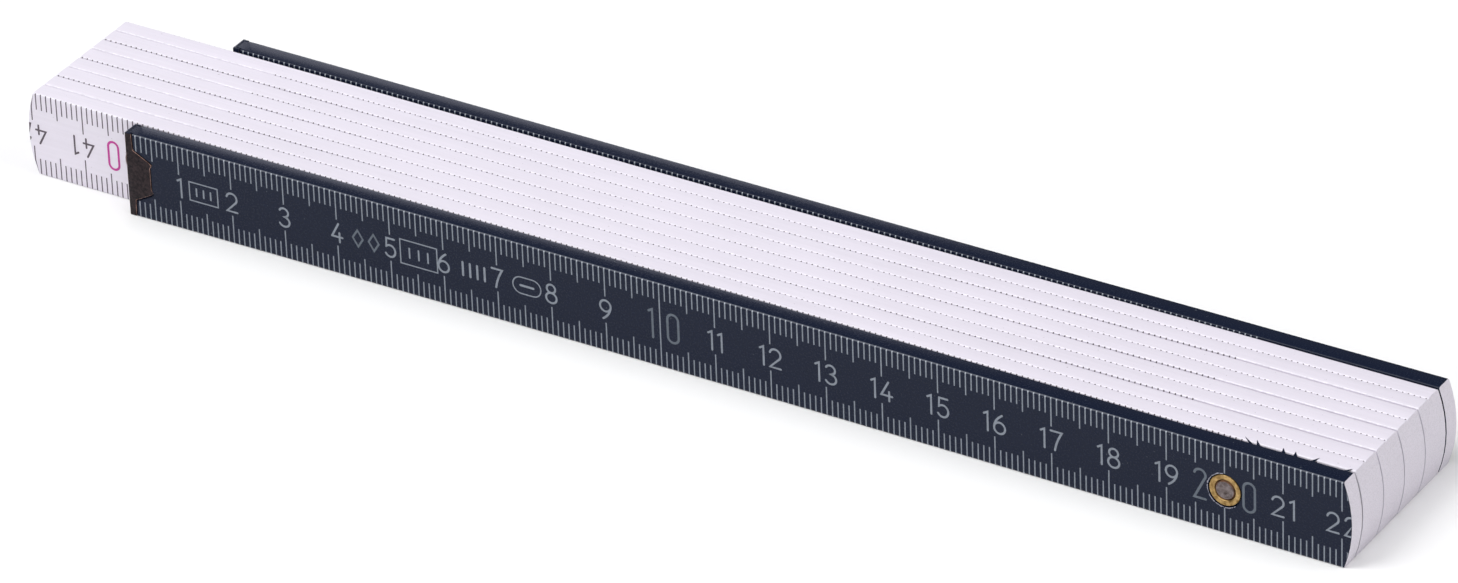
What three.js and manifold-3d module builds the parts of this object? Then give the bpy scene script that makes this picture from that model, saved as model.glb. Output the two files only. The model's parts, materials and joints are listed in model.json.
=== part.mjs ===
import * as THREE from 'three';
import { mergeVertices } from 'three/addons/utils/BufferGeometryUtils.js';
import Module from 'manifold-3d';

// Two metre wooden folding rule, ten sections, shown folded.
// Millimetres. X runs along the sections, Y through the stack from the first
// section to the last, Z up. The folded rule stands on its long edges with its
// underside at Z = 0, and the origin is under the middle of the stack.

// ---- Driving dimensions ------------------------------------------------------

const SECTION_COUNT = 10;
const PIVOT_PITCH = 200;         // pivot to pivot, and square end to pivot
const SECTION_HEIGHT = 15.2;
const SECTION_THICKNESS = 3.2;
const SECTION_GAP = 0.15;        // air between neighbouring sections
const END_RADIUS = 21.7;         // rounded end, centred on the pivot
const EDGE_BEVEL = 0.3;          // broken edges of the wood

const BUSH_RADIUS = 2.2;         // brass tube that the joint turns on
const BUSH_WALL = 0.4;
const FLANGE_RADIUS = 2.7;       // the two turned-over ends of the tube
const FLANGE_THICKNESS = 0.4;
const FLUSH_DEPTH = 0.02;        // metal sits this far below the wood faces

const PIN_RADIUS = 1.7;          // steel pin pressed through the bush
const PIN_END_ROUND = 0.25;
const PIN_DISH_RADIUS = 0.9;
const PIN_DISH_DEPTH = 0.15;

const PLATE_RADIUS = 6.3;        // pressed steel plates inside the joint
const PLATE_THICKNESS = 0.5;
const PLATE_BORE_RADIUS = 2.5;
const SPRING_PLATE_DEPTH = 0.375;
const DETENT_PLATE_DEPTH = 0.175;
const PRONG_COUNT = 3;
const PRONG_ORBIT = 5.3;
const PRONG_WIDTH = 1.4;
const PRONG_LENGTH = 1.0;
const PRONG_TURN = Math.PI / 2;
const NOSE_COUNT = 2;
const NOSE_ORBIT = 4.3;
const NOSE_BASE_RADIUS = 0.95;
const NOSE_TIP_RADIUS = 0.45;
const NOSE_HEIGHT = 0.55;
const CATCH_COUNT = 4;
const CATCH_RADIUS = 1.15;

const CAP_SHEET = 0.35;          // folded metal cap at each square end
const CAP_WEB = 0.4;
const CAP_STRIP = 1.4;
const CAP_TONGUE = 4.8;
const CAP_EAR = 0.4;
const CAP_SHOULDER_Z = 5.0;
const CAP_TONGUE_Z = 2.6;
const CAP_EAR_Z = 2.0;
const CAP_EAR_ROOT_Z = 1.6;

const RUNNING_CLEARANCE = 0.1;   // wood around metal that turns in it
const SEAT_CLEARANCE = 0.12;     // wood around metal fixed in it
const ROUND_SEGMENTS = 16;
const SMALL_ROUND_SEGMENTS = 8;
const END_ARC_SEGMENTS = 8;
const OVERSHOOT = 1;             // cutters run this far past a surface

// ---- Worked out from them ----------------------------------------------------

const PITCH_Y = SECTION_THICKNESS + SECTION_GAP;
const STACK_DEPTH = SECTION_COUNT * PITCH_Y - SECTION_GAP;
const LEFT_X = -PIVOT_PITCH / 2;
const RIGHT_X = PIVOT_PITCH / 2;
const MID_Z = SECTION_HEIGHT / 2;
const HOLE_RADIUS = BUSH_RADIUS + RUNNING_CLEARANCE;
const COUNTERBORE_RADIUS = FLANGE_RADIUS + RUNNING_CLEARANCE;
const COUNTERBORE_DEPTH = FLUSH_DEPTH + FLANGE_THICKNESS + SEAT_CLEARANCE;
const RECESS_RADIUS = PLATE_RADIUS + SEAT_CLEARANCE;

// ---- Materials ---------------------------------------------------------------

const FINISHES = {
  blackPaint: { color: 0x2b3242, roughness: 0.55, metalness: 0 },
  whitePaint: { color: 0xe8e4ee, roughness: 0.5, metalness: 0 },
  brass: { color: 0xb08a45, roughness: 0.35, metalness: 1 },
  steel: { color: 0x9a9ca0, roughness: 0.4, metalness: 1 },
  springSteel: { color: 0x6f7278, roughness: 0.45, metalness: 1 },
  bronze: { color: 0x4a3a33, roughness: 0.45, metalness: 1 },
};

// ---- Solid modelling ---------------------------------------------------------

const wasm = await Module();
wasm.setup();

function toSolid(geometry) {
  const plain = geometry.clone();
  plain.deleteAttribute('normal');
  plain.deleteAttribute('uv');
  const merged = mergeVertices(plain);
  return new wasm.Manifold(new wasm.Mesh({
    numProp: 3,
    vertProperties: new Float32Array(merged.attributes.position.array),
    triVerts: new Uint32Array(merged.index.array),
  }));
}

function toGeometry(solid) {
  const mesh = solid.getMesh();
  const geometry = new THREE.BufferGeometry();
  geometry.setAttribute('position', new THREE.BufferAttribute(mesh.vertProperties, 3));
  geometry.setIndex(new THREE.BufferAttribute(mesh.triVerts, 1));
  const faceted = geometry.toNonIndexed();
  faceted.computeVertexNormals();
  return faceted;
}

// Extrudes an outline drawn in X and Z from frontY to backY.
function slab(shape, frontY, backY, bevel = 0) {
  const geometry = new THREE.ExtrudeGeometry(shape, {
    depth: backY - frontY - 2 * bevel,
    curveSegments: ROUND_SEGMENTS / 2,
    bevelEnabled: bevel > 0,
    bevelThickness: bevel,
    bevelSize: bevel,
    bevelOffset: -bevel,
    bevelSegments: 1,
  });
  geometry.rotateX(Math.PI / 2);
  geometry.translate(0, backY - bevel, 0);
  return toSolid(geometry);
}

function polygon(points) {
  return new THREE.Shape(points.map(([x, z]) => new THREE.Vector2(x, z)));
}

function disc(x, radius) {
  const shape = new THREE.Shape();
  shape.absarc(x, MID_Z, radius, 0, 2 * Math.PI, false);
  return shape;
}

// A turned solid about the pivot axis at x, from [radius, y] pairs.
function turned(x, profile) {
  const points = profile.map(([radius, y]) => new THREE.Vector2(radius, y));
  const geometry = new THREE.LatheGeometry(points, ROUND_SEGMENTS);
  geometry.translate(x, 0, MID_Z);
  return toSolid(geometry);
}

function around(count, orbit, firstAngle, x) {
  return Array.from({ length: count }, (_, index) => {
    const angle = firstAngle + (index * 2 * Math.PI) / count;
    return {
      angle,
      x: x + orbit * Math.cos(angle),
      z: MID_Z + orbit * Math.sin(angle),
    };
  });
}

// ---- Sections ----------------------------------------------------------------

function sectionFrontY(number) {
  return -STACK_DEPTH / 2 + (number - 1) * PITCH_Y;
}

function endArc(centreX, facing) {
  const half = Math.asin(MID_Z / END_RADIUS);
  const middle = facing > 0 ? 0 : Math.PI;
  return Array.from({ length: END_ARC_SEGMENTS + 1 }, (_, index) => {
    const angle = middle - half + (2 * half * index) / END_ARC_SEGMENTS;
    return [
      centreX + END_RADIUS * Math.cos(angle),
      MID_Z + END_RADIUS * Math.sin(angle),
    ];
  });
}

function hasSquareEnd(number) {
  return number === 1 || number === SECTION_COUNT;
}

function sectionShape(number) {
  const squareEnd = LEFT_X + CAP_WEB + SEAT_CLEARANCE;
  const left = hasSquareEnd(number)
    ? [[squareEnd, SECTION_HEIGHT], [squareEnd, 0]]
    : endArc(LEFT_X, -1);
  return polygon([...endArc(RIGHT_X, 1), ...left]);
}

// The tab of the end cap on one face: a strip along the end with a tapered
// tongue in the middle that ends in two small ears.
function capShape(margin) {
  const strip = LEFT_X + CAP_STRIP + margin;
  const tongue = LEFT_X + CAP_TONGUE + margin;
  const upper = [
    [strip, CAP_SHOULDER_Z + margin],
    [tongue, CAP_TONGUE_Z + margin],
    [tongue + CAP_EAR, CAP_EAR_Z + margin],
    [tongue, CAP_EAR_ROOT_Z],
  ];
  const lower = upper.map(([x, z]) => [x, -z]).reverse();
  const reach = MID_Z + (margin > 0 ? OVERSHOOT : 0);
  const outer = LEFT_X - (margin > 0 ? OVERSHOOT : 0);
  const outline = [[strip, reach], ...upper, ...lower, [strip, -reach], [outer, -reach], [outer, reach]];
  return polygon(outline.map(([x, z]) => [x, z + MID_Z]));
}

// A joint is number n where section n carries section n + 1.
function pivotX(joint) {
  return joint % 2 === 1 ? RIGHT_X : LEFT_X;
}

// Prong pockets and plate recess in the face at faceY; inward is +1 or -1.
function plateSeat(x, faceY, inward, plateDepth) {
  const floorY = faceY + inward * (plateDepth + PLATE_THICKNESS + SEAT_CLEARANCE);
  const openY = faceY - inward * OVERSHOOT;
  let seat = slab(disc(x, RECESS_RADIUS), Math.min(openY, floorY), Math.max(openY, floorY));
  const pocketY = floorY + inward * PRONG_LENGTH;
  for (const place of around(PRONG_COUNT, PRONG_ORBIT, PRONG_TURN, x)) {
    seat = seat.add(prong(place, faceY, pocketY, SEAT_CLEARANCE));
  }
  return seat;
}

function prong(place, fromY, toY, margin) {
  const width = PRONG_WIDTH + 2 * margin;
  const geometry = new THREE.BoxGeometry(PLATE_THICKNESS + 2 * margin, Math.abs(toY - fromY), width);
  geometry.rotateY(-place.angle);
  geometry.translate(place.x, (fromY + toY) / 2, place.z);
  return toSolid(geometry);
}

function pivotHole(x, frontY, backY, openFaceY, inward) {
  const hole = slab(disc(x, HOLE_RADIUS), frontY - OVERSHOOT, backY + OVERSHOOT);
  const outsideY = openFaceY - inward * OVERSHOOT;
  const floorY = openFaceY + inward * COUNTERBORE_DEPTH;
  const counterbore = slab(
    disc(x, COUNTERBORE_RADIUS),
    Math.min(outsideY, floorY),
    Math.max(outsideY, floorY),
  );
  return hole.add(counterbore);
}

function section(number) {
  const frontY = sectionFrontY(number);
  const backY = frontY + SECTION_THICKNESS;
  let wood = slab(sectionShape(number), frontY, backY, EDGE_BEVEL);

  if (number > 1) {
    const x = pivotX(number - 1);
    wood = wood.subtract(plateSeat(x, frontY, 1, DETENT_PLATE_DEPTH));
    wood = wood.subtract(pivotHole(x, frontY, backY, backY, -1));
  }
  if (number < SECTION_COUNT) {
    const x = pivotX(number);
    wood = wood.subtract(plateSeat(x, backY, -1, SPRING_PLATE_DEPTH));
    wood = wood.subtract(pivotHole(x, frontY, backY, frontY, 1));
  }
  if (hasSquareEnd(number)) {
    const depth = FLUSH_DEPTH + CAP_SHEET + SEAT_CLEARANCE;
    const outline = capShape(SEAT_CLEARANCE);
    wood = wood.subtract(slab(outline, frontY - OVERSHOOT, frontY + depth));
    wood = wood.subtract(slab(outline, backY - depth, backY + OVERSHOOT));
  }
  return wood;
}

// ---- End caps ----------------------------------------------------------------

function endCap(number) {
  const frontY = sectionFrontY(number) + FLUSH_DEPTH;
  const backY = sectionFrontY(number) + SECTION_THICKNESS - FLUSH_DEPTH;
  const web = polygon([
    [LEFT_X, 0],
    [LEFT_X + CAP_WEB, 0],
    [LEFT_X + CAP_WEB, SECTION_HEIGHT],
    [LEFT_X, SECTION_HEIGHT],
  ]);
  return slab(web, frontY, backY)
    .add(slab(capShape(0), frontY, frontY + CAP_SHEET))
    .add(slab(capShape(0), backY - CAP_SHEET, backY));
}

// ---- Joint hardware ----------------------------------------------------------

function ringShape(x, outer, inner) {
  const shape = disc(x, outer);
  const bore = new THREE.Path();
  bore.absarc(x, MID_Z, inner, 0, 2 * Math.PI, true);
  shape.holes.push(bore);
  return shape;
}

// Plate fixed in the carrying section, with two noses facing the next one.
function springPlate(joint) {
  const x = pivotX(joint);
  const backFace = sectionFrontY(joint) + SECTION_THICKNESS;
  const backY = backFace - SPRING_PLATE_DEPTH;
  const frontY = backY - PLATE_THICKNESS;
  let plate = slab(ringShape(x, PLATE_RADIUS, PLATE_BORE_RADIUS), frontY, backY);
  for (const place of around(PRONG_COUNT, PRONG_ORBIT, PRONG_TURN, x)) {
    plate = plate.add(prong(place, backY, frontY - PRONG_LENGTH, 0));
  }
  for (const place of around(NOSE_COUNT, NOSE_ORBIT, 0, x)) {
    const height = PLATE_THICKNESS / 2 + NOSE_HEIGHT;
    const nose = new THREE.CylinderGeometry(NOSE_TIP_RADIUS, NOSE_BASE_RADIUS, height, SMALL_ROUND_SEGMENTS);
    nose.translate(place.x, backY + NOSE_HEIGHT - height / 2, place.z);
    plate = plate.add(toSolid(nose));
  }
  return plate;
}

// Plate fixed in the carried section, with a ring of holes the noses click into.
function detentPlate(joint) {
  const x = pivotX(joint);
  const frontY = sectionFrontY(joint + 1) + DETENT_PLATE_DEPTH;
  const backY = frontY + PLATE_THICKNESS;
  const shape = ringShape(x, PLATE_RADIUS, PLATE_BORE_RADIUS);
  let plate = slab(shape, frontY, backY);
  for (const place of around(PRONG_COUNT, PRONG_ORBIT, PRONG_TURN, x)) {
    plate = plate.add(prong(place, frontY, backY + PRONG_LENGTH, 0));
  }
  for (const place of around(CATCH_COUNT, NOSE_ORBIT, 0, x)) {
    const height = PLATE_THICKNESS + 2 * SEAT_CLEARANCE;
    const hole = new THREE.CylinderGeometry(CATCH_RADIUS, CATCH_RADIUS, height, SMALL_ROUND_SEGMENTS);
    hole.translate(place.x, (frontY + backY) / 2, place.z);
    plate = plate.subtract(toSolid(hole));
  }
  return plate;
}

function jointSpan(joint) {
  return {
    frontY: sectionFrontY(joint) + FLUSH_DEPTH,
    backY: sectionFrontY(joint + 1) + SECTION_THICKNESS - FLUSH_DEPTH,
  };
}

function bush(joint) {
  const { frontY, backY } = jointSpan(joint);
  const bore = BUSH_RADIUS - BUSH_WALL;
  return turned(pivotX(joint), [
    [bore, frontY],
    [FLANGE_RADIUS, frontY],
    [FLANGE_RADIUS, frontY + FLANGE_THICKNESS],
    [BUSH_RADIUS, frontY + FLANGE_THICKNESS],
    [BUSH_RADIUS, backY - FLANGE_THICKNESS],
    [FLANGE_RADIUS, backY - FLANGE_THICKNESS],
    [FLANGE_RADIUS, backY],
    [bore, backY],
    [bore, frontY],
  ]);
}

function rivetPin(joint) {
  const { frontY, backY } = jointSpan(joint);
  const crown = PIN_RADIUS - PIN_END_ROUND;
  return turned(pivotX(joint), [
    [0, frontY + PIN_DISH_DEPTH],
    [PIN_DISH_RADIUS, frontY + PIN_DISH_DEPTH],
    [crown, frontY],
    [PIN_RADIUS, frontY + PIN_END_ROUND],
    [PIN_RADIUS, backY - PIN_END_ROUND],
    [crown, backY],
    [PIN_DISH_RADIUS, backY - PIN_DISH_DEPTH],
    [0, backY - PIN_DISH_DEPTH],
  ]);
}

// ---- Assembly ----------------------------------------------------------------

const rule = new THREE.Group();
rule.name = 'folding_rule';

function place(name, solid, finish) {
  const mesh = new THREE.Mesh(toGeometry(solid), new THREE.MeshStandardMaterial(FINISHES[finish]));
  mesh.name = name;
  rule.add(mesh);
}

for (let number = 1; number <= SECTION_COUNT; number += 1) {
  place(`section_${number}`, section(number), hasSquareEnd(number) ? 'blackPaint' : 'whitePaint');
}

place('zero_end_cap', endCap(1), 'bronze');
place('far_end_cap', endCap(SECTION_COUNT), 'bronze');

for (let joint = 1; joint < SECTION_COUNT; joint += 1) {
  place(`spring_plate_${joint}`, springPlate(joint), 'springSteel');
  place(`detent_plate_${joint}`, detentPlate(joint), 'steel');
  place(`pivot_bush_${joint}`, bush(joint), 'brass');
  place(`rivet_pin_${joint}`, rivetPin(joint), 'steel');
}

export default rule;
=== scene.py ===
import json
import math

import bmesh
import bpy
from mathutils import Matrix, Vector, noise

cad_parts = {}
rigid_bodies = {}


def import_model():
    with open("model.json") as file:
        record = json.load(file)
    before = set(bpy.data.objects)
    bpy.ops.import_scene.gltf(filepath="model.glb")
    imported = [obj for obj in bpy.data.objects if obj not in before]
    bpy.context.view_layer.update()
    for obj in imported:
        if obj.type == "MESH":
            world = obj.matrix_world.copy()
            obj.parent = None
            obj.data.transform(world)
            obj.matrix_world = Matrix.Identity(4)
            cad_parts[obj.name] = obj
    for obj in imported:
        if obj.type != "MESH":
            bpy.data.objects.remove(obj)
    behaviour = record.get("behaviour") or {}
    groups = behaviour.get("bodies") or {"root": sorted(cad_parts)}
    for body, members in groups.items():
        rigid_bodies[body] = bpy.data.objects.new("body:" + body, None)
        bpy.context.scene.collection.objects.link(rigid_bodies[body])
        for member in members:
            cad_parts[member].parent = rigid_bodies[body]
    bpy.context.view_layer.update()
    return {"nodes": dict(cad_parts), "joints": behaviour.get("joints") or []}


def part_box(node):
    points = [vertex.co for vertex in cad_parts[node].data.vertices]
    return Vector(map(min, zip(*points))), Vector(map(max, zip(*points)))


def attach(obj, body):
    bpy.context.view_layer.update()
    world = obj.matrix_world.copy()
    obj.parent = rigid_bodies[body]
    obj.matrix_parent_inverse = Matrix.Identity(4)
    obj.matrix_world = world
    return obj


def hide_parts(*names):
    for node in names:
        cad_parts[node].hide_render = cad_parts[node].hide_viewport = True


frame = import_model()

# ---- Sizes, worked out from the frame. Shapes are drawn in millimetres ---------

MM = 0.001
SECTIONS = 10
JOINTS = SECTIONS - 1
BLACK_SECTIONS = (1, SECTIONS)


def box_mm(node):
    """Lowest and highest corner of a CAD node, in millimetres."""
    low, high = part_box(node)
    return low / MM, high / MM


def body(number):
    return f"body_section_{number}"


pivots = {}              # where each section carries the next, by the section's body
for joint in frame["joints"]:
    pivots[joint["parent"]] = Vector(joint["pos_m"]) / MM

FRONT = {n: box_mm(f"section_{n}")[0].y for n in range(1, SECTIONS + 1)}
THICKNESS = box_mm("section_1")[1].y - FRONT[1]
HEIGHT = box_mm("section_1")[1].z
MIDDLE = HEIGHT / 2
RIGHT_PIVOT = pivots[body(1)].x
LEFT_PIVOT = pivots[body(2)].x
PITCH = RIGHT_PIVOT - LEFT_PIVOT
END_RADIUS = box_mm("section_1")[1].x - RIGHT_PIVOT
SQUARE_END = box_mm("section_1")[0].x
FLANGE_RADIUS = (box_mm("pivot_bush_1")[1].x - box_mm("pivot_bush_1")[0].x) / 2
PIN_RADIUS = (box_mm("rivet_pin_1")[1].x - box_mm("rivet_pin_1")[0].x) / 2
PLATE_RADIUS = (box_mm("spring_plate_1")[1].x - box_mm("spring_plate_1")[0].x) / 2
FLUSH_DEPTH = box_mm("pivot_bush_1")[0].y - FRONT[1]

EDGE_ROUND = 0.3         # radius of the rounded long edges
EDGE_STEPS = 4           # faces round each of them
FACE_ROWS = 8            # rows of faces up a slat
STATIONS = 72            # steps along a slat
OVERSHOOT = 1            # cutters run this far past the surface of what they cut


# ---- Node helpers ---------------------------------------------------------------

class Nodes:
    """A material's node tree, with short calls for the nodes used here."""

    def __init__(self, name):
        self.material = bpy.data.materials.new(name)
        self.material.use_nodes = True
        self.tree = self.material.node_tree
        self.shader = self.tree.nodes["Principled BSDF"]
        self.coords = self.tree.nodes.new("ShaderNodeTexCoord").outputs["Object"]

    def link(self, output, socket):
        self.tree.links.new(output, socket)

    def feed(self, value, socket):
        """Links an output to the socket, or sets a plain number or colour on it."""
        if isinstance(value, float):
            socket.default_value = value
        elif isinstance(value, tuple):
            socket.default_value = (*value, 1)
        else:
            self.link(value, socket)

    def set(self, name, value):
        """Gives a socket of the shader an output or a plain value."""
        self.feed(value, self.shader.inputs[name])

    def noise(self, scale, detail=4.0, rough=0.5):
        """Noise whose features are 1 / scale millimetres across, along X, Y and Z."""
        mapping = self.tree.nodes.new("ShaderNodeMapping")
        mapping.inputs["Scale"].default_value = [s / MM for s in scale]
        self.link(self.coords, mapping.inputs["Vector"])
        node = self.tree.nodes.new("ShaderNodeTexNoise")
        node.inputs["Scale"].default_value = 1.0
        node.inputs["Detail"].default_value = detail
        node.inputs["Roughness"].default_value = rough
        self.link(mapping.outputs["Vector"], node.inputs["Vector"])
        return node.outputs["Fac"]

    def ramp(self, value, stops):
        """Colour ramp from (position, colour) stops."""
        node = self.tree.nodes.new("ShaderNodeValToRGB")
        elements = node.color_ramp.elements
        for element, (position, colour) in zip(elements, stops):
            element.position = position
            element.color = (*colour, 1)
        for position, colour in stops[len(elements):]:
            elements.new(position).color = (*colour, 1)
        self.link(value, node.inputs["Fac"])
        return node.outputs["Color"]

    def span(self, value, low, high):
        """Maps noise, which lies mostly between 0.3 and 0.7, to low and high."""
        node = self.tree.nodes.new("ShaderNodeMapRange")
        node.inputs["From Min"].default_value = 0.3
        node.inputs["From Max"].default_value = 0.7
        node.inputs["To Min"].default_value = low
        node.inputs["To Max"].default_value = high
        self.link(value, node.inputs["Value"])
        return node.outputs["Result"]

    def mix(self, factor, first, second):
        """Mixes two colours. The factor and the colours are outputs or plain values."""
        node = self.tree.nodes.new("ShaderNodeMix")
        node.data_type = "RGBA"
        for socket, value in (("Factor", factor), ("A", first), ("B", second)):
            self.feed(value, node.inputs[socket])
        return node.outputs["Result"]

    def bumps(self, *layers):
        """Stacks bump nodes from (height, depth in millimetres, strength)."""
        normal = None
        for height, depth, strength in layers:
            node = self.tree.nodes.new("ShaderNodeBump")
            node.inputs["Distance"].default_value = depth * MM
            node.inputs["Strength"].default_value = strength
            self.link(height, node.inputs["Height"])
            if normal:
                self.link(normal, node.inputs["Normal"])
            normal = node.outputs["Normal"]
        self.link(normal, self.shader.inputs["Normal"])


def shade(colour, factor):
    return tuple(channel * factor for channel in colour)


# ---- Materials ------------------------------------------------------------------

def painted_wood(name, colour, roughness, specular, speck):
    """Satin paint over lengthwise wood grain, with a few specks of dust."""
    nodes = Nodes(name)
    grain = nodes.noise((0.02, 1.6, 1.6), 6, 0.6)
    patches = nodes.noise((0.04, 0.15, 0.15), 3)
    fine = nodes.noise((3, 3, 3), 4)
    dust = nodes.noise((2.2, 2.2, 2.2), 1)
    tone = nodes.ramp(patches, [(0.3, shade(colour, 0.95)), (0.7, shade(colour, 1.04))])
    streaks = nodes.ramp(grain, [(0.3, shade(colour, 0.94)), (0.65, shade(colour, 1.03))])
    body_colour = nodes.mix(0.5, tone, streaks)
    specks = nodes.ramp(dust, [(0.79, (0, 0, 0)), (0.81, (1, 1, 1))])
    nodes.set("Base Color", nodes.mix(specks, body_colour, speck))
    nodes.set("Roughness", nodes.span(fine, roughness - 0.06, roughness + 0.08))
    nodes.set("Specular IOR Level", specular)
    nodes.bumps((grain, 0.03, 0.5), (fine, 0.012, 0.4))
    return nodes.material


def end_grain(name, colour):
    """Sawn and sealed wood end, with pores and fine saw marks."""
    nodes = Nodes(name)
    pores = nodes.noise((0.5, 5, 5), 4, 0.6)
    saw = nodes.noise((0.5, 0.3, 4), 3)
    stops = [(0.3, shade(colour, 0.86)), (0.5, colour), (0.7, shade(colour, 1.06))]
    nodes.set("Base Color", nodes.ramp(pores, stops))
    nodes.set("Roughness", nodes.span(saw, 0.6, 0.8))
    nodes.set("Specular IOR Level", 0.3)
    nodes.bumps((pores, 0.03, 0.5), (saw, 0.02, 0.4))
    return nodes.material


def ink(name, colour, roughness=0.5):
    """Printed ink, a little uneven."""
    nodes = Nodes(name)
    uneven = nodes.noise((1.5, 1.5, 1.5), 4)
    stops = [(0.3, shade(colour, 0.86)), (0.55, colour), (0.75, shade(colour, 1.12))]
    nodes.set("Base Color", nodes.ramp(uneven, stops))
    nodes.set("Roughness", nodes.span(uneven, roughness - 0.08, roughness + 0.08))
    nodes.set("Specular IOR Level", 0.3)
    return nodes.material


def metal(name, dark, light, roughness, metallic=1.0, size=0.8, dents=0.02):
    """Bare metal with patches of tarnish and fine dents."""
    nodes = Nodes(name)
    patches = nodes.noise((size, size, size), 5, 0.6)
    fine = nodes.noise((6, 6, 6), 3)
    nodes.set("Base Color", nodes.ramp(patches, [(0.35, dark), (0.62, light)]))
    nodes.set("Roughness", nodes.span(fine, roughness - 0.1, roughness + 0.12))
    nodes.set("Metallic", metallic)
    nodes.bumps((patches, dents, 0.5), (fine, dents / 4, 0.4))
    return nodes.material


WHITE = painted_wood("white_paint", (0.72, 0.68, 0.762), 0.5, 0.35, (0.45, 0.42, 0.46))
BLACK = painted_wood("black_paint", (0.0060, 0.0101, 0.0265), 0.24, 0.16, (0.08, 0.09, 0.11))
END = end_grain("sealed_end_grain", (0.72, 0.68, 0.75))
DARK_INK = ink("dark_ink", (0.105, 0.083, 0.105))
LIGHT_INK = ink("light_ink", (0.22, 0.245, 0.29))
FAINT_INK = ink("faint_ink", (0.105, 0.125, 0.155))
# Painted highlight: the light ink is paler where the ticks go round the edges.
LIGHT_INK_TIP_HIGHLIGHT = ink("light_ink_tips_painted_highlight", (0.40, 0.43, 0.48))
MAGENTA_INK = ink("magenta_ink", (0.50, 0.045, 0.29))
BRASS = metal("brass", (0.23, 0.135, 0.045), (0.56, 0.38, 0.16), 0.44, 1.0, 1.3)
PIN_STEEL = metal("turned_steel", (0.085, 0.065, 0.062), (0.25, 0.21, 0.21), 0.4, 1.0, 1.2)
RUST = metal("rusty_edge", (0.06, 0.032, 0.02), (0.22, 0.10, 0.05), 0.6, 0.6)
PLATE_STEEL = metal("pressed_steel", (0.28, 0.29, 0.31), (0.46, 0.47, 0.49), 0.4)
SPRING_STEEL = metal("spring_steel", (0.12, 0.13, 0.15), (0.24, 0.25, 0.28), 0.42)
BRONZE = metal("dark_bronze", (0.005, 0.003, 0.005), (0.030, 0.019, 0.021), 0.36, 0.7, 2.0, 0.16)
# Worn copper on the near cap's bevels, made lighter as a painted highlight.
COPPER_EDGE_AND_HIGHLIGHT = metal("worn_copper_edge_and_painted_highlight", (0.09, 0.045, 0.036), (0.62, 0.38, 0.31), 0.42, 0.6)
CHIP = ink("chipped_paint", (0.30, 0.30, 0.36), 0.7)
# Painted highlight: a lighter line on the black paint's front top edge and on the far cap's
# bevels.
BLACK_EDGE_HIGHLIGHT = ink("black_edge_painted_highlight", (0.085, 0.094, 0.118), 0.6)
# Painted highlight: a brighter white on the white sections' front top edge, along the seams.
WHITE_EDGE_HIGHLIGHT = ink("white_edge_painted_highlight", (0.80, 0.77, 0.84), 0.45)


# ---- Mesh helpers ---------------------------------------------------------------

def arc(cx, cy, rx, ry, start, stop, steps=14):
    """Points of an ellipse about (cx, cy), from one angle in degrees to another."""
    points = []
    for step in range(steps + 1):
        angle = math.radians(start + (stop - start) * step / steps)
        points.append((cx + rx * math.cos(angle), cy + ry * math.sin(angle)))
    return points


def object_from(name, points, faces, materials, slots=None):
    """A mesh object in the scene. slots gives each face's place in materials."""
    mesh = bpy.data.meshes.new(name)
    mesh.from_pydata([tuple(p) for p in points], [], faces)
    for material in materials:
        mesh.materials.append(material)
    if slots:
        mesh.polygons.foreach_set("material_index", slots)
    mesh.update()
    obj = bpy.data.objects.new(name, mesh)
    bpy.context.scene.collection.objects.link(obj)
    return obj


def bake_modifiers(obj):
    """Replaces the mesh by what its modifiers make of it."""
    graph = bpy.context.evaluated_depsgraph_get()
    made = bpy.data.meshes.new_from_object(obj.evaluated_get(graph))
    obj.modifiers.clear()
    obj.data = made


def soften(obj, sharp_degrees=32):
    """Smooth shading that keeps edges sharper than the angle."""
    work = bmesh.new()
    work.from_mesh(obj.data)
    limit = math.radians(sharp_degrees)
    for face in work.faces:
        face.smooth = True
    for edge in work.edges:
        edge.smooth = len(edge.link_faces) == 2 and edge.calc_face_angle(0) < limit
    work.to_mesh(obj.data)
    work.free()


def to_metres(obj):
    obj.data.transform(Matrix.Scale(MM, 4))
    obj.data.update()


def combine(obj, other, operation):
    """Cuts obj by the other object, or joins it on, and removes the other."""
    boolean = obj.modifiers.new("combine", "BOOLEAN")
    boolean.operation = operation
    boolean.solver = "EXACT"
    boolean.object = other
    bake_modifiers(obj)
    bpy.data.objects.remove(other)


def lathe(profile, x, segments=64, closed=True):
    """Points and faces of a solid turned about the pivot axis at x."""
    points = []
    faces = []
    rows = len(profile)
    for step in range(segments):
        angle = 2 * math.pi * step / segments
        for radius, y in profile:
            points.append((x + radius * math.cos(angle), y, MIDDLE + radius * math.sin(angle)))
        following = (step + 1) % segments
        last = rows if closed else rows - 1
        for row in range(last):
            after = (row + 1) % rows
            faces.append((
                step * rows + row,
                following * rows + row,
                following * rows + after,
                step * rows + after,
            ))
    return points, faces


def merge(parts):
    """Joins (points, faces) pairs into one."""
    points = []
    faces = []
    for part_points, part_faces in parts:
        offset = len(points)
        points.extend(part_points)
        faces.extend(tuple(index + offset for index in face) for face in part_faces)
    return points, faces


def tidy_normals(obj):
    """Merges points that coincide and turns all faces outwards."""
    work = bmesh.new()
    work.from_mesh(obj.data)
    bmesh.ops.remove_doubles(work, verts=work.verts, dist=1e-5)
    bmesh.ops.recalc_face_normals(work, faces=work.faces)
    work.to_mesh(obj.data)
    work.free()


# ---- How the sections really lie ------------------------------------------------
# Small moves in Y, in millimetres. Towards -Y is out of the stack at the front.

PAIR_SPREAD = 0.045      # sections 2-3, 4-5, 6-7 and 8-9 lie this much closer together
PAIR_CLOSING = 0.8       # share of that which is gone half way along
LEAN = 0.025             # a section leans this far towards or away from its neighbours
SQUEEZE = 0.40           # half way along, section 2 moves this far back, section 9 as far
                         # forward, and those between them in proportion
FIRST_SQUEEZE = 0.28     # what the first section moves of it
LAST_SQUEEZE = 0.20      # and the last

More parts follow.
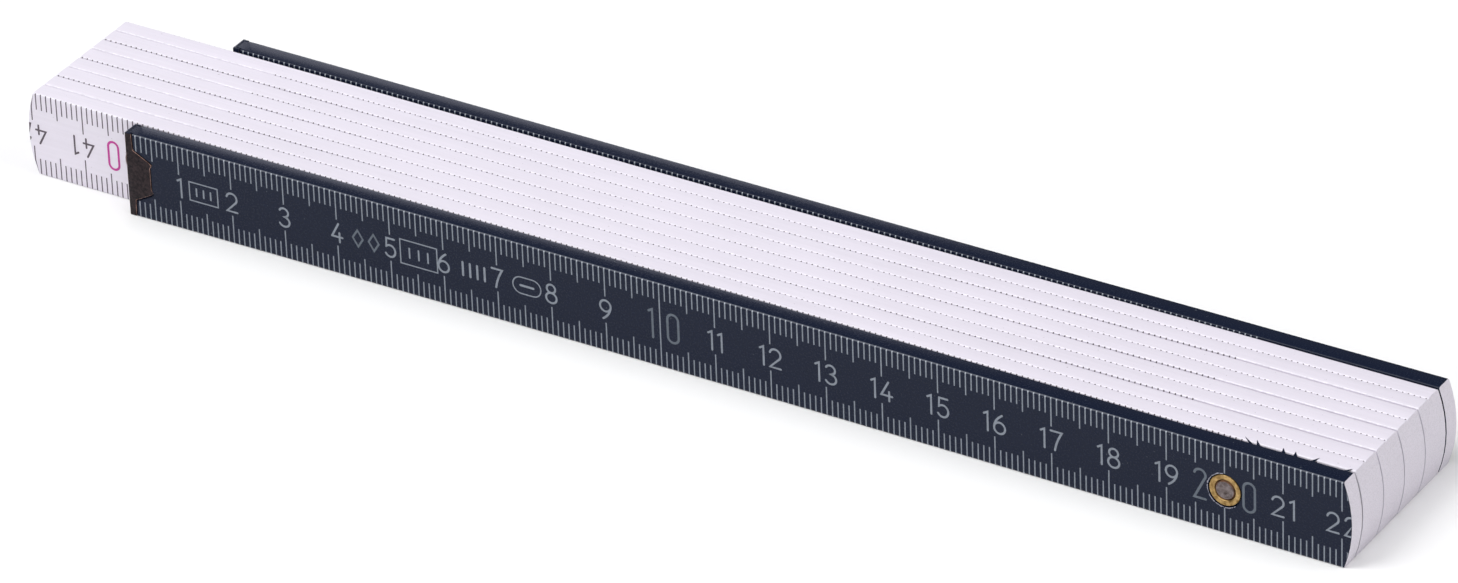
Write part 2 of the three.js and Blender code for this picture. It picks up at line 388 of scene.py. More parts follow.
LAST_GAP = 0.14          # the last section stands off the stack by this at its rivet
LAST_OUT = 0.5           # and by this much more at its free end

FIRST_GAP = 0.03         # the first section stands off by this at its rivet
TOUCH = 0.4              # at this share of its length it lies closest to the second
TOUCH_IN = 0.14          # and is this far in
EASE_OUT = 0.06          # from there it comes out slowly by this much
FIRST_OUT = 0.2          # and then sharply, to this far out at its free end


def shift(number, x):
    """Y offset at x: closer and wider gaps by turns, closing up half way along the
    stack, with the free ends of the first and the last section standing off."""
    along = (RIGHT_PIVOT - x) / PITCH
    middle = max(0, 1 - (x / (RIGHT_PIVOT - END_RADIUS)) ** 2)
    if number == 1:
        return bow(along) + FIRST_SQUEEZE * middle
    if number == SECTIONS:
        return LAST_GAP + LAST_OUT * max(0, along) - LAST_SQUEEZE * middle
    side = 1 if number % 2 == 0 else -1
    share = (number - 2) / (SECTIONS - 3)
    squeeze = SQUEEZE * (1 - 2 * share)
    spread = PAIR_SPREAD * (1 - PAIR_CLOSING * middle) + LEAN * x / RIGHT_PIVOT
    return side * spread + squeeze * middle


def bow(along):
    """The first section's own bend, from its rivet (0) to its free end (1)."""
    if along < TOUCH:
        return TOUCH_IN - (TOUCH_IN + FIRST_GAP) * (1 - along / TOUCH) ** 2
    free = (along - TOUCH) / (1 - TOUCH)
    return TOUCH_IN - EASE_OUT * free ** 2 - (FIRST_OUT + TOUCH_IN - EASE_OUT) * free ** 10


def settle(obj, number):
    """Moves a piece of a section to where the section really lies."""
    for vertex in obj.data.vertices:
        vertex.co.y += shift(number, vertex.co.x)
    obj.data.update()


# ---- Wooden sections ------------------------------------------------------------

def edge_profile():
    """Half the cross-section as (depth, height), from the bottom edge up the face."""
    points = []
    for step in range(EDGE_STEPS + 1):
        angle = math.pi / 2 * step / EDGE_STEPS
        points.append((EDGE_ROUND * (1 - math.sin(angle)), EDGE_ROUND * (1 - math.cos(angle))))
    for row in range(1, FACE_ROWS):
        points.append((0, EDGE_ROUND + (HEIGHT - 2 * EDGE_ROUND) * row / FACE_ROWS))
    for depth, height in reversed(points[:EDGE_STEPS + 1]):
        points.append((depth, HEIGHT - height))
    return points


def arc_reach(z):
    """How far the rounded end goes past its pivot at height z."""
    return math.sqrt(END_RADIUS ** 2 - (z - MIDDLE) ** 2)


def section_body(number):
    """Rounded slat as a grid of rings along X, closed by strips across its ends. The
    front top edge takes a lighter paint as a painted highlight, but not on the last section."""
    chain = edge_profile()
    first_edge_row = len(chain) - EDGE_STEPS
    # Two rows of faces on the front top edge take a lighter paint, a painted highlight.
    highlight_rows = () if number == SECTIONS else (first_edge_row, first_edge_row + 1)
    front = FRONT[number]
    ring = [(front + depth, z) for depth, z in chain]
    ring += [(front + THICKNESS - depth, z) for depth, z in reversed(chain)]
    points = []
    faces = []
    slots = []
    size = len(ring)
    for station in range(STATIONS + 1):
        share = station / STATIONS
        for y, z in ring:
            left = SQUARE_END if number in BLACK_SECTIONS else LEFT_PIVOT - arc_reach(z)
            right = RIGHT_PIVOT + arc_reach(z)
            points.append((left + (right - left) * share, y, z))
    for station in range(STATIONS):
        for index in range(size):
            after = (index + 1) % size
            low = station * size
            high = low + size
            faces.append((low + index, high + index, high + after, low + after))
            slots.append(2 if index in highlight_rows else 0)
    for base in (0, STATIONS * size):
        for index in range(len(chain) - 1):
            partner = size - 1 - index
            faces.append((base + index, base + index + 1, base + partner - 1, base + partner))
            slots.append(1)
    paints = [BLACK, END, BLACK_EDGE_HIGHLIGHT] if number in BLACK_SECTIONS else [WHITE, END, WHITE_EDGE_HIGHLIGHT]
    obj = object_from(f"painted_section_{number}", points, faces, paints, slots)
    tidy_normals(obj)
    return obj


# Radii and depths of what is drilled for a joint.
HOLE_OFFSET = 0.07       # the holes are drilled this far off the rivets
FLANGE_HOLE = FLANGE_RADIUS + 0.2
FLANGE_DEPTH = 0.55
BARREL_HOLE = 2.3
PLATE_HOLE = PLATE_RADIUS + 0.12
PLATE_DEPTH = 1.0
PRONG_GROOVE = 4.3       # inner radius of the groove for a plate's prongs
PRONG_DEPTH = 1.12       # it goes this much deeper than the plate
GROOVE_WALL = 0.1        # and ends this far inside the plate's hole
HOLE_SEGMENTS = 48


def joint_hole(x, outer, inner):
    """Cutter for the bush, its flange and a joint plate: outer is the y of the face
    that shows the flange, inner the y of the face with the plate."""
    inward = 1 if inner > outer else -1
    start = outer - inward * OVERSHOOT
    shoulder = outer + inward * FLANGE_DEPTH
    seat = inner - inward * PLATE_DEPTH
    pocket = seat - inward * PRONG_DEPTH
    stop = inner + inward * OVERSHOOT
    profile = [
        (0, start),
        (FLANGE_HOLE, start),
        (FLANGE_HOLE, shoulder),
        (BARREL_HOLE, shoulder),
        (BARREL_HOLE, seat),
        (PRONG_GROOVE, seat),
        (PRONG_GROOVE, pocket),
        (PLATE_HOLE - GROOVE_WALL, pocket),
        (PLATE_HOLE - GROOVE_WALL, seat),
        (PLATE_HOLE, seat),
        (PLATE_HOLE, stop),
        (0, stop),
    ]
    return lathe(profile, x + HOLE_OFFSET, HOLE_SEGMENTS, closed=False)


CAP_STRIP = 1.15         # width of a cap's strip up the square end
CAP_GAP = 0.22           # between its tab and the edge of the recess that it lies in
CAP_DEPTH = 0.5          # depth of the recess
CAP_SHEET = 0.36         # the cap's thickness on the faces
CAP_WEB = 0.4            # and across the end
CAP_BEVEL = 0.13
CAP_EDGE = 0.2           # its faces this close to the long edges are painted black
CAP_OUTLINE = ((1.3, 4.6), (4.35, 2.95), (4.75, 2.5), (4.4, 2.0))


def cap_outline(margin):
    """Corners of a cap's tab as (x, z), from the top of the strip down. With a margin it
    is the outline of its recess, which runs past the end of the wood."""
    end = LEFT_PIVOT     # a cap's outer face is one pitch from the section's pivot
    past = OVERSHOOT if margin else 0
    reach = MIDDLE + past
    upper = [(end + CAP_STRIP + margin, reach)]
    upper += [(end + x + margin, z + margin) for x, z in CAP_OUTLINE]
    lower = [(x, -z) for x, z in reversed(upper)]
    loop = upper + lower + [(end - past, -reach), (end - past, reach)]
    return [(x, MIDDLE + z) for x, z in loop]


def prism(outline, near, far):
    """Points and faces of an (x, z) outline made solid from y = near to y = far."""
    count = len(outline)
    points = [(x, near, z) for x, z in outline] + [(x, far, z) for x, z in outline]
    faces = [tuple(range(count)), tuple(range(2 * count - 1, count - 1, -1))]
    for index in range(count):
        after = (index + 1) % count
        faces.append((index, index + count, after + count, after))
    return points, faces


def section_cutter(number):
    """What is cut out of a slat: its one or two joints, and the recess for a cap."""
    front = FRONT[number]
    back = front + THICKNESS
    parts = []
    black = number in BLACK_SECTIONS
    if number < SECTIONS:
        parts.append(joint_hole(pivots[body(number)].x, front, back))
    if number > 1:
        parts.append(joint_hole(pivots[body(number - 1)].x, back, front))
    if black:
        recess = cap_outline(CAP_GAP)
        parts.append(prism(recess, front - OVERSHOOT, front + CAP_DEPTH))
        parts.append(prism(recess, back - CAP_DEPTH, back + OVERSHOOT))
    points, faces = merge(parts)
    obj = object_from("cutter", points, faces, [BLACK, END], [0 if black else 1] * len(faces))
    tidy_normals(obj)
    return obj


def make_section(number):
    """A slat with its joints and recess cut out, painted."""
    obj = section_body(number)
    combine(obj, section_cutter(number), "DIFFERENCE")
    soften(obj)
    settle(obj, number)
    to_metres(obj)
    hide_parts(f"section_{number}")
    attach(obj, body(number))


# ---- End caps -------------------------------------------------------------------

def make_cap(number, node):
    """Two tabs joined by a web across the end. The far cap is painted over."""
    low, high = box_mm(node)
    inner = low.x + CAP_WEB
    front = prism(cap_outline(0), low.y, low.y + CAP_SHEET)
    back = prism(cap_outline(0), high.y - CAP_SHEET, high.y)
    web = prism([(low.x, 0), (inner, 0), (inner, HEIGHT), (low.x, HEIGHT)], low.y, high.y)
    # Slot 1 takes the bevels: worn copper with a painted highlight on the near cap, a painted
    # highlight on the far cap.
    paints = [BRONZE, COPPER_EDGE_AND_HIGHLIGHT, BLACK] if number == 1 else [BLACK, BLACK_EDGE_HIGHLIGHT, BLACK]
    obj = object_from("folded_" + node, *front, paints)
    tidy_normals(obj)
    for part in (back, web):
        other = object_from("joining", *part, paints)
        tidy_normals(other)
        combine(obj, other, "UNION")
    bevel = obj.modifiers.new("edges", "BEVEL")
    bevel.width = CAP_BEVEL
    bevel.segments = 3
    bevel.limit_method = "ANGLE"
    bevel.material = 1
    bake_modifiers(obj)
    for polygon in obj.data.polygons:
        if abs(polygon.center.z - MIDDLE) > MIDDLE - CAP_EDGE:
            polygon.material_index = 2
    soften(obj, 40)
    settle(obj, number)
    to_metres(obj)
    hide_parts(node)
    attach(obj, body(number))


# ---- Rivets ---------------------------------------------------------------------

BORE_RADIUS = PIN_RADIUS + 0.06
BARREL_RADIUS = 2.2
FLANGE_SHEET = 0.4       # thickness of a bush's flange
FLANGE_ROLL = 0.17       # radius of its rounded rim
PIN_RIM = 1.42           # the pin's end is rusty outside this radius


def both_ends(end, front, back):
    """A profile of (radius, depth) points at the front end, repeated at the back."""
    near = [(radius, front + depth) for radius, depth in end]
    far = [(radius, back - depth) for radius, depth in reversed(end)]
    return near + far


def bush_profile(front, back):
    """Flanged tube as (radius, y), with rolled flanges and bevelled mouths."""
    roll_centre = FLANGE_RADIUS - FLANGE_ROLL
    end = [
        (BORE_RADIUS, 0.25),
        (BORE_RADIUS + 0.08, 0.08),
        (BORE_RADIUS + 0.3, 0),
        (FLANGE_RADIUS - 0.4, 0),
        *arc(roll_centre, FLANGE_ROLL, FLANGE_ROLL, FLANGE_ROLL, -90, 0, 4),
        (FLANGE_RADIUS, FLANGE_SHEET),
        (BARREL_RADIUS, FLANGE_SHEET),
    ]
    return both_ends(end, front, back)


def pin_profile(front, back):
    """Turned pin as (radius, y): its ends have a rim, two grooves and a raised middle."""
    end = [
        (0.0, 0.10),
        (0.22, 0.11),
        (0.34, 0.17),
        (0.5, 0.17),
        (0.62, 0.10),
        (0.95, 0.06),
        (1.08, 0.12),
        (1.2, 0.12),
        (1.3, 0.05),
        (1.5, 0.06),
        (PIN_RADIUS - 0.05, 0.16),
        (PIN_RADIUS, 0.3),
    ]
    return both_ends(end, front, back)


def make_rivet(joint):
    """Bush and pin through sections joint and joint + 1, flush with their outer faces."""
    x = pivots[body(joint)].x
    front = FRONT[joint] + FLUSH_DEPTH + shift(joint, x)
    back = FRONT[joint + 1] + THICKNESS - FLUSH_DEPTH + shift(joint + 1, x)
    points, faces = lathe(bush_profile(front, back), x)
    bush = object_from(f"brass_bush_{joint}", points, faces, [BRASS])
    points, faces = lathe(pin_profile(front, back), x, closed=False)
    pin = object_from(f"steel_pin_{joint}", points, faces, [PIN_STEEL, RUST])
    for polygon in pin.data.polygons:
        offset = polygon.center - Vector((x, 0, MIDDLE))
        offset.y = 0
        polygon.material_index = 1 if offset.length > PIN_RIM else 0
    for obj, node, slot in ((bush, "pivot_bush", "brass"), (pin, "rivet_pin", "pin_steel")):
        tidy_normals(obj)
        soften(obj, 50)
        to_metres(obj)
        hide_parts(f"{node}_{joint}")
        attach(obj, body(joint))


# ---- Printed scale --------------------------------------------------------------
# Print is drawn flat, as (t, v): t along the scale from the near pivot of a section,
# v up its face. It is then wrapped on the face of the wood.

PRINT_PROUD = 0.01
CLIP_MARGIN = 0.04       # print stops this far inside the rounded end of the wood
STROKE_LIFT = 0.004      # strokes that cross lie this much one above the other
MITRE_LIMIT = 0.55       # a sharp corner's point is no longer than half a stroke over this
TICK_WIDTH = 0.22
TICK_LENGTHS = {10: 5.2, 5: 4.1, 1: 3.0}     # at each 10, 5 and 1 mm
LONG_TICK_HALF = 3.5     # the tick through a tall number has a middle twice this long
DIGIT = {"width": 1.95, "height": 3.35, "stroke": 0.36, "gap": 1.12}
TALL = {"width": 1.95, "height": 5.1, "stroke": 0.42, "gap": 1.12}
TALL_APART = (3.25, 1.38)    # a tall number's digits stand this far off its tick, wider
                             # at every even ten centimetres, where a rivet is
RIVET_CLEAR = 3.05       # print keeps this far from the middle of a rivet
WRAP_DEGREES = 50        # ticks run this far round the long edges
WRAP_STEPS = 3
FIRST_TICK = {1: 2, 2: -2}   # a section's first tick, from its near pivot: the first one
OTHER_FIRST_TICK = 11        # starts past its cap, and the second before its rivet
FIRST_NUMBER = {1: 10}
OTHER_FIRST_NUMBER = 20
CAP_CLEAR = 2            # the last section's ticks end this far from its cap's end
PRINT_SHIFT = {2: 0.9}   # print that is not quite in register, along the scale


def bend(start, control, stop, steps=8):
    """Points of a curve from start to stop, pulled towards control."""
    points = []
    for step in range(steps + 1):
        t = step / steps
        points.append(tuple(
            (1 - t) ** 2 * a + 2 * t * (1 - t) * b + t ** 2 * c
            for a, b, c in zip(start, control, stop)
        ))
    return points


def digit_lines(digit, w, h):
    """Centre lines of a digit in a box w wide and h high."""
    round_end = w / 2
    if digit == "0":
        loop = arc(w / 2, h - round_end, w / 2, round_end, 0, 180, 10)
        loop += arc(w / 2, round_end, w / 2, round_end, 180, 360, 10)
        return [loop + loop[:1]]
    if digit == "1":
        stem = w / 3
        return [[(0, h - 0.2 * w), (stem, h), (stem, 0)]]
    if digit == "2":
        top = arc(w / 2, h - round_end, w / 2, round_end, 165, -38)
        return [top + [(0, 0), (w, 0)]]
    if digit == "3":
        upper = arc(0.47 * w, 0.765 * h, 0.43 * w, 0.235 * h, 155, -90)
        lower = arc(0.49 * w, 0.265 * h, 0.5 * w, 0.265 * h, 90, -155)
        return [upper + lower[1:]]
    if digit == "4":
        return [
            [(0.66 * w, h), (0, 0.27 * h), (w, 0.27 * h)],
            [(0.72 * w, 0.5 * h), (0.72 * w, 0)],
        ]
    if digit == "5":
        bowl = arc(0.48 * w, 0.32 * h, 0.5 * w, 0.32 * h, 135, -150)
        return [[(0.92 * w, h), (0.17 * w, h)] + bowl]
    if digit == "6":
        bowl = arc(w / 2, 0.3 * h, w / 2, 0.3 * h, 0, 360, 20)
        return [bowl, bend((0.74 * w, h), (0.06 * w, 0.72 * h), (0, 0.3 * h))]
    if digit == "7":
        return [[(0, h)] + bend((w, h), (0.5 * w, 0.5 * h), (0.36 * w, 0))]
    if digit == "8":
        upper = arc(w / 2, 0.775 * h, 0.4 * w, 0.225 * h, -90, 270, 18)
        lower = arc(w / 2, 0.275 * h, 0.5 * w, 0.275 * h, 90, 450, 20)
        return [upper, lower]
    turned = digit_lines("6", w, h)
    return [[(w - x, h - y) for x, y in line] for line in turned]


def digit_width(digit, style):
    """A 1 takes a third of the width of the others."""
    return style["width"] / 3 if digit == "1" else style["width"]


def number_lines(text, style, anchor, align):
    """Centre lines of a number whose left, middle or right is at anchor."""
    widths = [digit_width(digit, style) for digit in text]
    total = sum(widths) + style["gap"] * (len(text) - 1)
    left = anchor - {"left": 0, "middle": total / 2, "right": total}[align]
    base = MIDDLE - style["height"] / 2
    lines = []
    for digit, width in zip(text, widths):
        for line in digit_lines(digit, style["width"], style["height"]):
            lines.append([(left + x, base + y) for x, y in line])
        left += width + style["gap"]
    return lines


FACE_INK = 0             # the inks of a face: ticks and small numbers, tall numbers, and
TALL_INK = 1             # the ticks' ends where they go round the edges
EDGE_INK = 2


class Print:
    """Flat strips of ink for one face, as (t, v, lift) points."""

    def __init__(self):
        self.points = []
        self.faces = []
        self.slots = []

    def strip(self, line, width, slot, round_ends=True, lift=0.0):
        """A stroke along the line, mitred at its corners, and lift prouder than most."""
        half = width / 2
        closed = math.dist(line[0], line[-1]) < 1e-6
        line = line[:-1] if closed else line
        count = len(line)
        pairs = []
        for index, (x, y) in enumerate(line):
            before = line[index - 1] if index or closed else None
            after = line[(index + 1) % count] if index < count - 1 or closed else None
            directions = []
            if before:
                directions.append(Vector((x - before[0], y - before[1])).normalized())
            if after:
                directions.append(Vector((after[0] - x, after[1] - y)).normalized())
            along = sum(directions, Vector((0, 0))).normalized()
            side = Vector((-along.y, along.x))
            spread = max(MITRE_LIMIT, along.dot(directions[0]))
            across = side * half / spread
            pairs.append((Vector((x, y)) + across, Vector((x, y)) - across))
        first = len(self.points)
        for pair in pairs:
            self.points.extend((point.x, point.y, lift) for point in pair)
        for index in range(count if closed else count - 1):
            a = first + 2 * index
            b = first + 2 * ((index + 1) % count)
            self.faces.append((a, a + 1, b + 1, b))
            self.slots.append(slot)
        if round_ends and not closed:
            self.round_end(line[0], line[1], half, slot, lift)
            self.round_end(line[-1], line[-2], half, slot, lift)

    def round_end(self, end, inner, half, slot, lift, steps=4):
        """A half disc on the end of a stroke, which came from inner."""
        heading = math.atan2(end[1] - inner[1], end[0] - inner[0])
        fan = []
        for step in range(steps + 1):
            angle = heading - math.pi / 2 + math.pi * step / steps
            fan.append(len(self.points))
            x = end[0] + half * math.cos(angle)
            self.points.append((x, end[1] + half * math.sin(angle), lift))
        self.faces.append(tuple(fan))
        self.slots.append(slot)

    def number(self, text, style, anchor, align, slot):
        """A number whose strokes lie one above the other, as some of them cross."""
        for index, line in enumerate(number_lines(text, style, anchor, align)):
            self.strip(line, style["stroke"], slot, lift=STROKE_LIFT * (index + 1))

    def clip(self):
        """Drops faces beyond the rounded end of the wood, and pulls in those across it."""
        reach = END_RADIUS - CLIP_MARGIN
        moved = []
        for t, v, lift in self.points:
            height = max(-MIDDLE, min(MIDDLE, v - MIDDLE))
            limit = PITCH + math.sqrt(reach ** 2 - height ** 2)
            moved.append((limit, v, lift) if t > limit else None)
        keep = [i for i, face in enumerate(self.faces) if any(moved[p] is None for p in face)]
        self.points = [new or old for new, old in zip(moved, self.points)]
        self.faces = [self.faces[i] for i in keep]
        self.slots = [self.slots[i] for i in keep]


def edge_line(length):
    """A tick's centre line in v, from its inner end out to the rounded edge of the wood,
    as (v, turn), where turn is the angle that it has gone round the edge."""
    line = [(length, 0)]
    if length > 2 * EDGE_ROUND:
        line.append((length / 2, 0))
    for step in range(WRAP_STEPS + 1):
        line.append((EDGE_ROUND, math.radians(WRAP_DEGREES) * step / WRAP_STEPS))
    return line


def draw_tick(sheet, t, length, top):
    """A tick from the top or bottom edge, in one strip on the face and one round the
    edge. Round the edge its v goes on, and wrap() turns that extra into an angle."""
    points = []
    for v, turn in edge_line(length):
        inward = v - EDGE_ROUND * turn
        points.append((t, HEIGHT - inward if top else inward))
    edge = len(points) - 1 - WRAP_STEPS
    sheet.strip(points[:edge + 1], TICK_WIDTH, FACE_INK, round_ends=False)
    sheet.strip(points[edge:], TICK_WIDTH, EDGE_INK, round_ends=False)


def tick_length(mark):
    """Length of the tick at a millimetre of the whole rule."""
    return next(length for step, length in TICK_LENGTHS.items() if mark % step == 0)


def scale_ticks(sheet, start, first, last):
    """A tick at each millimetre t from first to last, at start + t on the whole rule.
    The one between the digits of a tall number runs right across the face."""
    for t in range(first, last + 1):
        mark = round(start + t)
        length = tick_length(mark)
        if mark % round(PITCH) == 0:
            length = min(length, MIDDLE - RIVET_CLEAR)
        elif mark % 100 == 0:
            length = MIDDLE - LONG_TICK_HALF
            middle = [(t, MIDDLE + LONG_TICK_HALF), (t, MIDDLE - LONG_TICK_HALF)]
            sheet.strip(middle, TICK_WIDTH, FACE_INK, round_ends=False)
        draw_tick(sheet, t, length, True)
        draw_tick(sheet, t, length, False)


def scale_numbers(sheet, start, first, last):
    """The centimetres, with tall digits either side of the tick at every tenth."""
    for t in range(first, last + 1, 10):
        centimetre = round(start + t) // 10
        text = str(centimetre)
        if centimetre % 10:
            sheet.number(text, DIGIT, t, "middle", FACE_INK)
            continue
        apart = TALL_APART[centimetre // 10 % 2]
        sheet.number(text[:-1], TALL, t - apart, "right", TALL_INK)
        sheet.number(text[-1], TALL, t + apart, "left", TALL_INK)


def face_print(number):
    """The print on the front face of a section, flat, in (t, v)."""
    sheet = Print()
    start = (number - 1) * PITCH
    last = math.floor(PITCH + END_RADIUS + 0.5)
    if number == SECTIONS:
        last = round(PITCH) - CAP_CLEAR
    scale_ticks(sheet, start, FIRST_TICK.get(number, OTHER_FIRST_TICK), last)
    scale_numbers(sheet, start, FIRST_NUMBER.get(number, OTHER_FIRST_NUMBER), last)
    if number == 1:
        generic_marks(sheet)
    offset = PRINT_SHIFT.get(number, 0)
    sheet.points = [(t + offset, v, lift) for t, v, lift in sheet.points]
    if number < SECTIONS:
        sheet.clip()
    return sheet


THIN_LINE = 0.22
SMALL_BAR = 0.3
LOZENGE_LINE = 0.34
BAR_LINE = 0.4
FRAMED_MARKS = ((11.9, 5.4, 3.4), (51.9, 6.9, 4.4))     # left, width and height
FRAMED_BARS = 3
LOZENGE_MARKS = (43.9, 46.9)
LOZENGE = ((0, 1.5), (0.95, 0), (0, -1.5), (-0.95, 0), (0, 1.5))
BARS = 4
BARS_LEFT = 63.6
BARS_APART = 1.35
BARS_HALF = 1.2
OVAL_CENTRES = (74.4, 76.6)     # of its round ends
OVAL_RADIUS = 1.5
DASH_PAST = 0.1          # the dash in the oval runs this far past them


def framed_mark(sheet, left, wide, high):
    """An upright frame with short bars in it."""
    low = MIDDLE - high / 2
    right = left + wide
    top = low + high
    corners = [(left, low), (right, low), (right, top), (left, top), (left, low)]
    sheet.strip(corners, THIN_LINE, FACE_INK)
    for bar in range(1, FRAMED_BARS + 1):
        x = left + wide * bar / (FRAMED_BARS + 1)
        sheet.strip([(x, low + 0.3 * high), (x, low + 0.7 * high)], SMALL_BAR, FACE_INK)


def generic_marks(sheet):
    """Plain shapes where the first section carries small marks."""
    for left, wide, high in FRAMED_MARKS:
        framed_mark(sheet, left, wide, high)
    for centre in LOZENGE_MARKS:
        lozenge = [(centre + x, MIDDLE + z) for x, z in LOZENGE]
        sheet.strip(lozenge, LOZENGE_LINE, TALL_INK)
    for bar in range(BARS):
        x = BARS_LEFT + BARS_APART * bar
        sheet.strip([(x, MIDDLE - BARS_HALF), (x, MIDDLE + BARS_HALF)], BAR_LINE, FACE_INK)
    left, right = OVAL_CENTRES
    oval = arc(right, MIDDLE, OVAL_RADIUS, OVAL_RADIUS, 90, -90, 10)
    oval += arc(left, MIDDLE, OVAL_RADIUS, OVAL_RADIUS, 270, 90, 10)
    sheet.strip(oval + oval[:1], THIN_LINE, FACE_INK)
    dash = [(left - DASH_PAST, MIDDLE), (right + DASH_PAST, MIDDLE)]
    sheet.strip(dash, BAR_LINE, FACE_INK)


def wrap(v, lift):
    """Depth and height on the wood for a flat point, round the edges included."""
    for edge, sign in ((0, 1), (HEIGHT, -1)):
        into = (v - edge) * sign
        if into < EDGE_ROUND:
            turn = (EDGE_ROUND - into) / EDGE_ROUND
            radius = EDGE_ROUND + PRINT_PROUD + lift
            depth = EDGE_ROUND - radius * math.cos(turn)
            height = edge + sign * (EDGE_ROUND - radius * math.sin(turn))
            return depth, height
    return -PRINT_PROUD - lift, v


def place_print(sheet, number):
    """Print of section number's front face, in the frame's axes, with y from the face."""
    placed = []
    for t, v, lift in sheet.points:
        depth, height = wrap(v, lift)
        if number % 2:
            placed.append((LEFT_PIVOT + t, depth, height))
        else:
            placed.append((RIGHT_PIVOT - t, depth, HEIGHT - height))
    return placed


def make_print(number, sheets):
    """Front print, and the back print: that of the mirror section rolled over."""
    opposite = SECTIONS + 1 - number
    front = [(x, FRONT[number] + y, z) for x, y, z in place_print(sheets[number], number)]
    back_face = FRONT[number] + THICKNESS
    rolled = place_print(sheets[opposite], opposite)
    back = [(x, back_face - y, HEIGHT - z) for x, y, z in rolled]
    points, faces = merge([(front, sheets[number].faces), (back, sheets[opposite].faces)])
    slots = sheets[number].slots + sheets[opposite].slots
    black = number in BLACK_SECTIONS
    # On the black sections the ticks' ends round the edges take a paler ink, a painted
    # highlight.
    inks = [LIGHT_INK, FAINT_INK, LIGHT_INK_TIP_HIGHLIGHT] if black else [DARK_INK, MAGENTA_INK, DARK_INK]
    obj = object_from(f"scale_print_{number}", points, faces, inks, slots)
    settle(obj, number)
    to_metres(obj)
    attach(obj, body(number))


# ---- Small marks of use ---------------------------------------------------------

CHIP_STEPS = 60
CHIP_START = 95          # in degrees, anticlockwise from the right
CHIP_SWEEP = 215
CHIP_WIDTH = 0.07        # the narrowest chip
CHIP_RAGGED = 0.24       # and what ragged edges may add to it
WHOLE_EVERY = 9          # one step in this many keeps its paint
WHOLE_STEP = 4           # starting with this one


def make_rivet_chips():
    """Chipped paint round the front rivet of the first section, mostly on its left."""
    x = RIGHT_PIVOT
    y = FRONT[1] + shift(1, x) - PRINT_PROUD
    inner = FLANGE_HOLE - 0.01
    points = []
    faces = []
    for step in range(CHIP_STEPS + 1):
        angle = math.radians(CHIP_START + CHIP_SWEEP * step / CHIP_STEPS)
        ragged = CHIP_RAGGED * abs(noise.noise(Vector((step * 0.37, 0.5, 2.1))))
        for radius in (inner, inner + CHIP_WIDTH + ragged):
            points.append((x + radius * math.cos(angle), y, MIDDLE + radius * math.sin(angle)))
        if step and step % WHOLE_EVERY != WHOLE_STEP:
            faces.append((2 * step - 2, 2 * step - 1, 2 * step + 1, 2 * step))
    obj = object_from("rivet_paint_chips", points, faces, [CHIP])
    to_metres(obj)
    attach(obj, body(1))


# Each burr's place past the rivet along X, its tip's lean along X and its reach back.
BURRS = (
    (2.9, -1.7, 1.15),
    (4.2, -0.9, 1.15),
    (8.4, -0.5, 1.0),
    (10.4, -0.4, 1.0),
    (13.3, 0.7, 1.15),
    (18.9, 0.9, 0.8),
)
BURR_HALF = 0.36         # half its width at the root
BURR_HEIGHT = 0.1        # its root goes this far below the edge, its tip as far above
BURR_ROOT = 0.12         # and the root is this far in from the back face


def make_paint_burrs():
    """Burrs of black paint on the back top edge of the first section, over the gap."""
    root = FRONT[1] + THICKNESS - BURR_ROOT
    points = []
    faces = []
    for past_rivet, lean, reach in BURRS:
        x = RIGHT_PIVOT + past_rivet
        y = root + shift(1, x)
        first = len(points)
        points += [
            (x - BURR_HALF, y, HEIGHT - BURR_HEIGHT),
            (x + BURR_HALF, y, HEIGHT - BURR_HEIGHT),
            (x, y, HEIGHT),
            (x + lean, y + reach, HEIGHT + BURR_HEIGHT),
        ]
        for face in ((0, 2, 1), (0, 1, 3), (1, 2, 3), (2, 0, 3)):
            faces.append(tuple(first + corner for corner in face))
    obj = object_from("black_paint_burrs", points, faces, [BLACK])
    to_metres(obj)
    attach(obj, body(1))


# ---- Building it ----------------------------------------------------------------

for number in range(1, SECTIONS + 1):
    make_section(number)
make_cap(1, "zero_end_cap")
make_cap(SECTIONS, "far_end_cap")
for joint in range(1, JOINTS + 1):
    make_rivet(joint)
sheets = {number: face_print(number) for number in range(1, SECTIONS + 1)}
for number in range(1, SECTIONS + 1):
    make_print(number, sheets)
make_rivet_chips()
make_paint_burrs()
for joint in range(1, JOINTS + 1):
    for name, steel in (("spring_plate", SPRING_STEEL), ("detent_plate", PLATE_STEEL)):
        for slot in frame["nodes"][f"{name}_{joint}"].material_slots:
            slot.material = steel


# ---- Floor, light and camera ----------------------------------------------------

VIEW_AZIMUTH = 32.5      # degrees
VIEW_ELEVATION = 31.08
VIEW_ROLL = -2.22
VIEW_DISTANCE = 1.4345   # metres
VIEW_TARGET = Vector((0.00444, -0.00297, 0.00793))
VIEW_LENS = 227.0        # millimetres of focal length

PANEL_PLACE = (-0.246, 0.111, 0.052)     # metres, behind the rule's left end
PANEL_FACING = (212, 30)                 # azimuth and elevation, as in direction()
PANEL_SIZE = (0.4, 0.114)
PANEL_POWER = 0.26
PANEL_COLOUR = (0.88, 0.88, 1.0)


def direction(azimuth, elevation):
    """From the object towards the viewer: azimuth 0 looks along +Y."""
    a = math.radians(azimuth)
    e = math.radians(elevation)
    return Vector((math.sin(a) * math.cos(e), -math.cos(a) * math.cos(e), math.sin(e)))


def facing(back, roll=0.0):
    """Rotation whose local Z is back and whose X is level, then rolled."""
    right = Vector((0, 0, 1)).cross(back).normalized()
    up = back.cross(right)
    c = math.cos(math.radians(roll))
    s = math.sin(math.radians(roll))
    columns = (right * c + up * s, up * c - right * s, back)
    return Matrix(columns).transposed().to_4x4()


